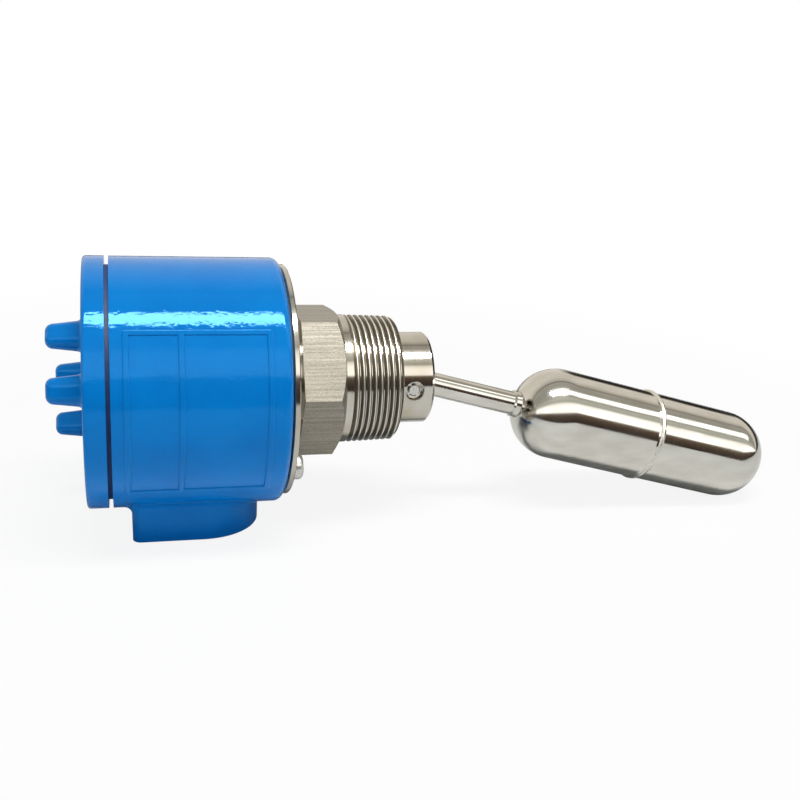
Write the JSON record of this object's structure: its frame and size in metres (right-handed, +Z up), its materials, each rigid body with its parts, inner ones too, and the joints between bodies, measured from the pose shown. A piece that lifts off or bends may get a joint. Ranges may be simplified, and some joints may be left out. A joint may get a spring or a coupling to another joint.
{
  "type": "float level switch",
  "caption": "Side-mounted float level switch: round enamelled housing with a lugged screw cover, hexagon pipe-thread nipple and a capsule float on a pivoted rod.",
  "frame": {"origin": "on the nipple's axis at the start of the tapered process thread, beside the collar", "axes": "+X along the nipple towards the float, +Z up with the cable entry pointing down"},
  "size_m": [0.289, 0.0907, 0.0997],
  "materials": {
    "blue_enamel": "gloss enamel with slight orange peel",
    "seal_rubber": "matt",
    "gasket_rubber": "matt",
    "turned_stainless": "turned and milled",
    "polished_stainless": "polished",
    "screw_steel": "satin",
    "magnet_jacket": "satin",
    "white_ptfe": "smooth",
    "zinc_sheet": "zinc plated",
    "black_phenolic": "moulded",
    "red_nylon": "moulded",
    "tinned_brass": "bright",
    "cream_nylon": "moulded",
    "rocker_brass": "machined"
  },
  "bodies": {
    "housing": {"housing": "blue_enamel", "mounting_plate": "turned_stainless", "plate_gasket": "gasket_rubber", "plate_screws": "screw_steel", "hex_nipple": "turned_stainless", "lock_nut": "screw_steel", "pivot_pin": "screw_steel", "pivot_clips": "screw_steel", "pivot_washers": "white_ptfe", "switch_bracket": "zinc_sheet", "bracket_screws": "screw_steel", "earth_screw": "tinned_brass", "rocker_pin": "screw_steel", "microswitch": "black_phenolic", "switch_screws": "screw_steel", "switch_blades": "tinned_brass", "terminal_block": "cream_nylon", "terminal_screws": "screw_steel"},
    "cover_seal": {"cover_seal": "seal_rubber"},
    "cover": {"cover": "blue_enamel"},
    "float_arm": {"arm_hub": "turned_stainless", "drive_magnet": "magnet_jacket", "float_rod": "polished_stainless", "rod_collar": "polished_stainless", "float_rear_shell": "polished_stainless", "float_front_shell": "polished_stainless"},
    "rocker": {"rocker": "rocker_brass", "rocker_magnet": "magnet_jacket"},
    "switch_plunger": {"switch_plunger": "red_nylon"}
  },
  "joints": [
    {"name": "float_swing", "type": "hinge", "parent": "housing", "child": "float_arm", "pos_m": [0.0241, 0, 0], "axis": [0, -1, 0], "range_deg": [0, 28.88]},
    {"name": "cover_travel", "type": "slide", "parent": "housing", "child": "cover_seal", "axis": [-1, 0, 0], "range_m": [0, 0.01]},
    {"name": "cover_turn", "type": "hinge", "parent": "cover_seal", "child": "cover", "pos_m": [-0.09, 0, 0], "axis": [-1, 0, 0], "range_deg": [0, 1800]},
    {"name": "rocker_swing", "type": "hinge", "parent": "housing", "child": "rocker", "pos_m": [-0.046, 0, 0], "axis": [0, 1, 0], "range_deg": [0, 14.45]},
    {"name": "plunger_travel", "type": "slide", "parent": "housing", "child": "switch_plunger", "axis": [0, 0, 1], "range_m": [0, 0.00127]}
  ],
  "couplings": [
    {"joint": "cover_travel", "follows": "cover_turn", "m_per_rad": 0.00031831},
    {"joint": "rocker_swing", "follows": "float_swing", "ratio": 0.5},
    {"joint": "plunger_travel", "follows": "float_swing", "m_per_rad": 0.0025133}
  ]
}
